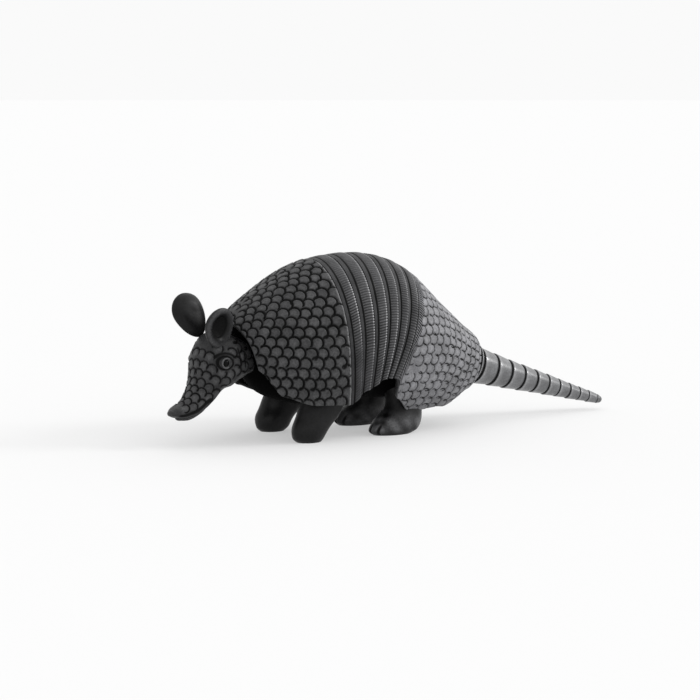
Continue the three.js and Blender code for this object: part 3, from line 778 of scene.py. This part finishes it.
def makeHead():
    grid = tube(head["sections"], head["step"], head["columns"], head["jowl"])
    size = lambda at: head["pitch"] * (1 - (1 - head["snoutSize"]) * ease((at[:, 0] - 14) / 20))
    normals = outward(grid, True)
    nape = -np.gradient(grid, axis=0)
    half = headCentres(grid, size)
    onTop = half[half[:, 1] < 0.6]
    sides = settle(half[half[:, 1] >= 0.6], onTop, grid[::2, :head["columns"] // 2:2], size, 8)
    centres = np.concatenate([onTop, sides, mirrored(sides)])
    ways = nape[nearestCells(grid, centres)]
    sizes = head["radius"] * size(centres) / head["pitch"]
    cutAndShade, rubAndSheen, lift = carveScales(grid, normals, centres, ways, sizes, head["tool"], True)
    x, y, z = np.moveaxis(grid, -1, 0)
    # the eye's socket, thicker in front and above; the brow, and two strokes behind the eye
    flat = np.hypot((x - eye["x"]) / eye["long"], z - eye["z"])
    onSide = ease((np.abs(y) - 6) / 3)
    ahead = (x - eye["x"]) / eye["long"] / np.maximum(flat, 1e-6)
    above = (z - eye["z"]) / np.maximum(flat, 1e-6)
    socket = bell(flat - eye["groove"] - 0.15 * ahead, 0.4 + 0.2 * ease(0.6 * ahead + 0.5 * above)) * onSide
    browCut = bell(flat - eye["browArc"], 0.5) * ease((above - 0.35 * np.abs(ahead) - 0.1) / 0.3) * onSide
    strokes = onSide * np.maximum.reduce([
        bell(x - at - lean * (z - head["strokeMiddle"]), width) * ease((z - bottom) / 2) * ease((top - z) / 2)
        for at, lean, width, bottom, top in head["strokes"]])
    # the mouth is a long cut low on the snout, and below it and under the cheeks the clay is left smooth
    around = arcLength(np.concatenate([grid, grid[:, :1]], 1), 1)
    down = np.minimum(around[:, :-1], around[:, -1:] - around[:, :-1])
    low = down - (lipShare(x) + 0.02) * around[:, -1:] / 2
    mouthCut = bell(low - mouth["below"], mouth["width"])
    mouthCut = mouthCut * ease((x - mouth["from"]) / 5) * ease((mouth["to"] - x) / 2)
    clear = ease((flat - eye["smooth"]) / 0.8)
    cutAndShade, lift = (layer * np.maximum(clear, 1 - onSide) * ease((0.6 - low) / 0.8) for layer in (cutAndShade, lift))
    depth = head["tool"]["depth"] * cutAndShade - head["rise"] * lift + eye["grooveDepth"] * socket
    depth = depth + eye["browDepth"] * browCut + head["strokeDepth"] * strokes + mouth["depth"] * mouthCut + 0.1
    depth = depth - head["wave"] * smoothNoise(grid, 9, 31)
    # darker in the cuts, socket, brow, strokes and mouth: soot and painted shade
    tint = ease(2.4 * np.maximum.reduce([cutAndShade, socket, browCut, 0.75 * strokes, mouthCut]))
    # a painted highlight along the upper lip
    rubAndSheen = np.maximum(rubAndSheen, mouth["lipLight"] * bell(low - 0.9, 0.45) * ease((22 - x) / 3))
    skin = grid - normals * depth[..., None]
    # the nape is hollowed to sit over the trunk's neck, and the nose is rounded off
    start, end = skin[0], skin[-1]
    middle = start.mean(0)
    cup = [middle + (start - middle) * share + (forward, 0, 0) for share, forward in head["cup"]]
    nose = domeRows(end, (0.97, 0, -0.1), 1.5, 7)
    columns = head["columns"]
    pad = lambda layer, value: np.concatenate([
        np.full((len(cup), columns), value), layer, np.zeros((len(nose), columns))])
    # the nape's hollow is painted fully dark: painted shade where the head tucks under the shell
    skinPiece("carved_head", placeHead(np.concatenate([cup, skin, nose])), pad(tint, 1.0),
              pad(0.5 * rubAndSheen * (1 - tint), 0.0), "head", faceClay)
    print("head carved,", len(centres), "scales")


def makeJaw():
    columns = 72
    grid = tube(head["jaw"], 0.5, columns)
    normals = outward(grid, True)
    grid = grid + normals * (0.12 * smoothNoise(grid, 6, 41))[..., None]
    rear, chin = domeRows(grid[0], (-0.6, 0, 0.7), 1.0, 5)[::-1], domeRows(grid[-1], (1, 0, 0), 1.2, 5)
    grid = np.concatenate([rear, grid, chin])
    up = np.cos(turns(columns)) + 0 * grid[..., 0]
    # painted shade along the jaw's top, under the head's edge, and a painted highlight just below it
    skinPiece("smooth_lower_jaw", placeHead(grid), 0.9 * ease((up - 0.3) / 0.3), 0.5 * bell(up - 0.12, 0.16),
              "lower_jaw", faceClay)


def placeEar(points, name, sign):
    # the cup opens outwards, leans out by its splay and forwards, and stands on the crown
    raised, forward, _, back = ear[name]
    splay, forward = math.radians(ear["splay"]), math.radians(forward)
    x, y, z = np.moveaxis(points, -1, 0)
    y, z = y * math.cos(splay) + z * math.sin(splay), z * math.cos(splay) - y * math.sin(splay)
    x, z = x * math.cos(forward) + z * math.sin(forward), z * math.cos(forward) - x * math.sin(forward)
    return np.stack([x + ear["x"] - back, sign * (y + ear["y"]), z + ear["z"] + raised], -1)


def makeEar(name, sign):
    # outline: x = w r sin a (1 + n cos a), z = l r cos a, where r runs up the back, over the rim and inside
    u = np.linspace(0, len(ear["profile"]) - 1, 90)[:, None]
    angle = turns(110)
    front, rear, height = np.moveaxis(along(ear["profile"], u + 0 * angle), -1, 0)
    share = rear + (front - rear) * (0.5 + 0.5 * np.sin(angle - 0.35))
    x = ear["wide"] * share * np.sin(angle) * (1 + ear["narrow"] * np.cos(angle))
    low = share * (0.5 - 0.5 * np.cos(angle)) ** 4
    z = ear["long"] * (share * np.cos(angle) + 1) - ear[name][2] * low
    grid = np.stack([x, height - 0.5 * low, z], -1)
    # the rows up the back say which way is outwards
    normals = gridNormals(grid, True)
    back = normals[:50]
    sense = np.sign(np.sum(back * outward(grid[:50], normals=back)))
    grid = grid + normals * sense * (ear["wave"] * smoothNoise(grid, 14, 51 + sign))[..., None]
    # painted shade deep in the hollow and a painted highlight along the rolled rim
    inside, rubSheen = ease((u - 8.4) / 2.2) + 0 * angle, 0.35 * bell(u - 6.5, 1.2) + 0 * angle
    skinPiece(f"cupped_{name}_ear", placeHead(placeEar(grid, name, sign)), inside, rubSheen,
              f"{name}_ear", bodyClay)


def makeEye(name, sign):
    # the eye sits on the head's face, wherever that is at its place
    face = tube(head["sections"], 0.5, 160, head["jowl"]).reshape(-1, 3)
    face = face[face[:, 1] > 4]
    out = face[np.argmin(np.hypot(face[:, 0] - eye["x"], face[:, 2] - eye["z"])), 1]
    at = np.array((eye["x"], sign * (out - eye[name]), eye["z"]))
    around, thick = turns(64), turns(20)
    # a roll of clay bent into a ring: (R + r cos b) round the eye's axis
    far = eye["lid"] + (eye["lidThick"] + 0.06 * np.sin(3 * around[:, None])) * np.cos(thick)
    roll = eye["lidThick"] * np.sin(thick) + 0 * around[:, None]
    lid = np.stack([eye["long"] * far * np.cos(around)[:, None], sign * roll, far * np.sin(around)[:, None]], -1) + at
    # a painted highlight on the roll's outer face
    wearAndSheen = 0.6 * ease(np.sin(thick)) + 0 * around[:, None]
    skinPiece(f"rolled_{name}_eyelid", placeHead(lid), 0 * wearAndSheen, wearAndSheen, f"{name}_eyelid", faceClay,
              ring=True)
    # the pellet: a bead pressed a little flat
    down = np.linspace(0.06, np.pi - 0.06, 30)[:, None]
    bead = np.stack([eye["long"] * np.sin(down) * np.cos(around), sign * eye["flat"] * np.cos(down) + 0 * around,
                     np.sin(down) * np.sin(around)], -1)
    plain = 0 * bead[..., 0]
    skinPiece(f"polished_{name}_eye", placeHead(bead * eye["pellet"] + at - (0, sign * eye["sunk"], 0)), plain, plain,
              f"{name}_eye", pelletClay)


makeHead()
makeJaw()
for name, sign in (("left", 1), ("right", -1)):
    makeEar(name, sign)
    makeEye(name, sign)
print("head, ears and eyes in place")


trunk = {
    "inset": 5.8, "neck": [(-78, 49, 0, 8.5, 7.5, 7.5), (-71, 49.5, 0, 10.5, 9, 9)],
    "belly": [26, 31, 33.5, 34, 33, 28, 21.5, 10.5, 6.6], "wave": 0.35,
    # the hole under the belly that lets the steam out in the kiln: radius, place and depth
    "vent": 1.8, "ventX": -8, "ventDepth": 5,
}
# from the sole up: x, y outwards, z, half length, half thickness
legs = {
    "front": [(-38, 22, 0, 7, 5.8), (-38, 22, 2.5, 9.4, 7.4), (-36.5, 22, 8, 11.3, 8.6), (-32, 22, 15, 12.8, 8.6),
              (-27.5, 21, 24, 14, 8.4), (-26, 19, 32, 14, 8)],
    "rear": [(15.5, 20, 0, 11.5, 6.5), (16.5, 20, 2.5, 15, 8.2), (19, 20, 7.5, 14.8, 8.8), (23, 19, 14, 11.8, 7.8),
             (24, 18, 22, 11.5, 7.2), (24, 18, 32, 12, 7)],
    # the cuts between the toes, as angles round the rear feet
    "toes": (-0.5, 0.05, 0.6), "toeDepth": 0.7,
    # how uneven the clay is, and how much painted sheen the rear feet get, more on the left than the right
    "wave": 0.45, "left": 0.8, "right": 0.4,
}


def makeTrunk():
    rows = trunk["neck"] + [
        (x, z, lean, width - trunk["inset"], up - trunk["inset"], down)
        for (x, z, lean, width, up, _), down in zip(shell["sections"][1:], trunk["belly"])]
    grid = tube(rows, 0.8, 260)
    normals = outward(grid, True)
    toVent = np.hypot(grid[..., 0] - trunk["ventX"], grid[..., 1])
    hole = ease((trunk["vent"] + 0.5 - toVent) / 0.9) * (grid[..., 2] < 30)
    grid = grid + normals * (trunk["wave"] * smoothNoise(grid, 22, 61) * (1 - hole))[..., None]
    grid = grid + (0, 0, 1) * (trunk["ventDepth"] * hole)[..., None]
    # the whole trunk is fully darkened: painted shade where it lies under the shell
    skinPiece("smoothed_trunk", grid, 1 + 0 * hole, 0 * hole, "trunk", shadedTrunkClay)


def makeLeg(pair, side, sign):
    # sections are flat ellipses: x + long cos a, y + thick sin a; sign is the side of y, which is -1 on the left
    # here and 1 in the head's own turned-round measures
    rows = legs[pair]
    u = np.linspace(0, len(rows) - 1, 110)[:, None]
    columns = 150
    angle = turns(columns)
    x, y, z, long, thick = np.moveaxis(along(rows, u + 0 * angle), -1, 0)
    grid = np.stack([x + long * np.cos(angle), sign * (y + thick * np.sin(angle)), z], -1)
    normals = outward(grid, True)
    cut = np.zeros_like(x)
    if pair == "rear":
        for toe in legs["toes"]:
            off = (np.mod(angle - sign * toe, 2 * np.pi) - np.pi) * thick
            cut = np.maximum(cut, bell(off, 0.6) * ease((u - 0.25) / 0.4) * ease((2.05 - u) / 0.7))
    seed = 71 + 10 * (pair == "rear") + sign
    push = legs["wave"] * smoothNoise(grid, 16, seed) * ease(z / 3) - legs["toeDepth"] * cut
    grid = grid + normals * push[..., None]
    sole = np.stack([grid[0].mean(0) + (grid[0] - grid[0].mean(0)) * share for share in (0.25, 0.6, 0.9)])
    grid = np.concatenate([sole, grid])
    grid[..., 2] = np.maximum(grid[..., 2], 0)
    cut = np.concatenate([np.zeros((len(sole), columns)), cut])
    # painted sheen low on the rear feet, in patches, kept out of the toe cuts
    patchySheen = (0.6 + 0.5 * smoothNoise(grid, 7, seed + 5)) * legs[side] * (pair == "rear")
    rubSheen = patchySheen * ease((15 - grid[..., 2]) / 8) * ease(grid[..., 2] / 4) * (1 - ease(cut))
    # darker in the toe cuts: soot and painted shade
    skinPiece(f"pressed_{pair}_{side}_leg", grid, ease(1.4 * cut), rubSheen, f"{pair}_{side}_leg", bodyClay)


makeTrunk()
for pair in ("front", "rear"):
    makeLeg(pair, "left", -1)
    makeLeg(pair, "right", 1)
print("trunk and legs in place")


tail = {
    "x": 83.1, "z": 31.9, "slope": 16.6, "radius": 10.25, "taper": 0.085, "core": 0.4, "coreGap": 0.35, "gap": 0.12,
    "rings": 10, "firstRing": 10.95, "shorter": 0.456, "collar": 3.9, "collarFlare": 2, "swell": 0.3,
    # the bevel at a ring's rear edge, its length, its drop and how dark it is painted, as painted shade: first ring,
    # last ring
    "bevel": (2.5, 0.8), "drop": (1.7, 0.5), "shade": (0.93, 0.55),
    # radius and place of the tip's profile
    "tip": [(1.2, 1.9), (1.9, 1.85), (2.5, 0.05), (2.68, 0.25), (2.68, 1.1), (2.35, 1.5), (2.25, 2.1), (1.9, 3.1),
            (1.3, 3.8), (0.5, 4.3), (0.05, 4.4)],
}


def placeTail(points):
    # local s runs down the tail: turned about y by a right angle and the slope, then moved to the root
    turn = math.radians(90 + tail["slope"])
    cosine, sine = math.cos(turn), math.sin(turn)
    x, y, s = np.moveaxis(points, -1, 0)
    return np.stack([x * cosine + s * sine + tail["x"], y, s * cosine - x * sine + tail["z"]], -1)


def tailRadius(s):
    # a cone: radius at the root less taper times s
    return tail["radius"] - tail["taper"] * s


def makeCuff(node, start, stop, swell, rearSwell, order, seed):
    # turned profile: radius and place along the tail, from the core out over the sharp front edge to the bevel;
    # order runs from 0 at the root to 1 at the last ring
    stop = stop - tail["gap"]
    core = lambda s: tail["core"] * tailRadius(s) + tail["coreGap"]
    front, back = tailRadius(start) + swell, tailRadius(stop) + rearSwell
    bevel, drop, shade = (
        first + (last - first) * order for first, last in (tail["bevel"], tail["drop"], tail["shade"]))
    bevel = min(bevel, 0.55 * (stop - start))
    profile = [
        (core(start), start), (front - 1.5, start), (front - 0.45, start + 0.02), (front - 0.08, start + 0.2),
        (front, start + 0.6), (0.7 * front + 0.3 * back, start + 0.3 * (stop - start)), (back, stop - bevel),
        (back - 0.14 * drop, stop - 0.62 * bevel), (back - 0.42 * drop, stop - 0.28 * bevel),
        (back - 0.72 * drop, stop - 0.06 * bevel), (back - drop, stop), (core(stop), stop),
    ]
    u = np.linspace(0, len(profile) - 1, 78)
    radius, place = along(profile, u).T
    angle = turns(140)[:, None]
    hand = np.random.default_rng(seed)
    wave = 0.12 * np.sin(angle + hand.uniform(0, 6)) + 0.09 * np.sin(2 * angle + hand.uniform(0, 6))
    tilt = 0.16 * np.sin(angle + hand.uniform(0, 6)) * ease((radius - 4) / 3)
    radius = radius + wave * ease((radius - core(start)) / 2)
    grid = np.stack([radius * np.cos(angle), radius * np.sin(angle), place + tilt], -1)
    outside = u + 0 * angle
    # painted shade on the rear bevel and on the inner face down to the core
    dark = np.maximum(shade * ease((outside - 6.3) / 1.6), ease((2.6 - outside) / 0.8))
    # a painted highlight just behind the sharp front edge
    rubSheen = bell(outside - 3.8, 0.8) * 0.7
    skinPiece(f"turned_{node}", placeTail(grid), dark, rubSheen, node, tailClay, ring=True)


def makeTip(end):
    # a rounded plug with a small step, its back hollowed over the core
    u = np.linspace(0, len(tail["tip"]) - 1, 50)[:, None]
    angle = turns(64)
    radius, place = np.moveaxis(along(tail["tip"], u + 0 * angle), -1, 0)
    grid = np.stack([radius * np.cos(angle), radius * np.sin(angle), place + end], -1)
    # painted shade on the hollowed back and in the step
    dark = ease((3 - u) / 1.5) + 0.6 * bell(u - 5.4, 0.5) + 0 * angle
    skinPiece("turned_tail_tip", placeTail(grid), dark, 0 * dark, "tail_tip", tailClay)


makeCuff("tail_collar", -tail["collar"], 0, tail["collarFlare"], 0.2, 0, 91)
place = 0
for number in range(tail["rings"]):
    length = tail["firstRing"] - tail["shorter"] * number
    order = number / (tail["rings"] - 1)
    makeCuff(f"tail_ring_{number + 1}", place, place + length, tail["swell"], 0.4 * tail["swell"], order, 92 + number)
    place += length
makeTip(place)
# the core, seen only in the gaps between the rings, takes the painted-dark trunk clay
core = bpy.data.objects["tail_core"]
core.data.materials.clear()
core.data.materials.append(shadedTrunkClay)
print("tail turned")


view = {"azimuth": -29, "height": 7, "distance": 1.2, "aim": (shiftX * mm, 0, 0.0457), "lens": 110.2, "sensor": 36}
room = {
    "reach": 30, "sides": 64, "paper": "#b0b0b0", "glow": 0.42, "sky": "#fafafa",
    # a broad window behind the figure and a narrow one for the gloss on the tail and the bands: turn from the front,
    # height and apparent width in degrees, and power
    "windows": [(80, 52, 85, 0.8), (63, 30, 16, 0.85)],
}


def makeRoom():
    # a wide pale floor that glows a little, so that its far edge is lost in the sky
    angle = turns(room["sides"])
    mesh = bpy.data.meshes.new("floor")
    rim = np.stack([room["reach"] * np.cos(angle), room["reach"] * np.sin(angle), 0 * angle], -1)
    mesh.from_pydata(rim.tolist(), [], [list(range(room["sides"]))])
    mesh.shade_smooth()
    floor = addObject("floor", mesh)
    paper = bpy.data.materials.new("matt white paper")
    paper.use_nodes = True
    shader = paper.node_tree.nodes["Principled BSDF"]
    shader.inputs["Base Color"].default_value = linear(room["paper"])
    shader.inputs["Roughness"].default_value = 1
    shader.inputs["Specular IOR Level"].default_value = 0
    shader.inputs["Emission Color"].default_value = (1, 1, 1, 1)
    shader.inputs["Emission Strength"].default_value = room["glow"]
    mesh.materials.append(paper)
    world = bpy.data.worlds.new("room")
    bpy.context.scene.world = world
    world.use_nodes = True
    world.node_tree.nodes["Background"].inputs[0].default_value = linear(room["sky"])
    world.node_tree.nodes["Background"].inputs[1].default_value = 1
    bpy.context.scene.view_settings.view_transform = "Standard"


def wayOut(azimuth, height):
    # unit vector at a turn from the front and a height, both in degrees
    turn, tilt = math.radians(azimuth), math.radians(height)
    return Vector((math.sin(turn) * math.cos(tilt), -math.cos(turn) * math.cos(tilt), math.sin(tilt)))


def addWindow(azimuth, height, softness, power):
    # daylight from one side, with its apparent width in degrees
    lamp = bpy.data.lights.new("window", "SUN")
    lamp.energy, lamp.angle = power, math.radians(softness)
    holder = addObject("window", lamp)
    holder.location = way = wayOut(azimuth, height)
    holder.rotation_euler = way.to_track_quat("Z", "Y").to_euler()


def makeCamera():
    back = wayOut(view["azimuth"], view["height"])
    lens = bpy.data.cameras.new("camera")
    lens.lens, lens.sensor_width = view["lens"], view["sensor"]
    holder = addObject("camera", lens)
    holder.location = Vector(view["aim"]) + back * view["distance"]
    holder.rotation_euler = back.to_track_quat("Z", "Y").to_euler()
    bpy.context.scene.camera = holder


makeRoom()
for window in room["windows"]:
    addWindow(*window)
makeCamera()
print("room lit and camera set")
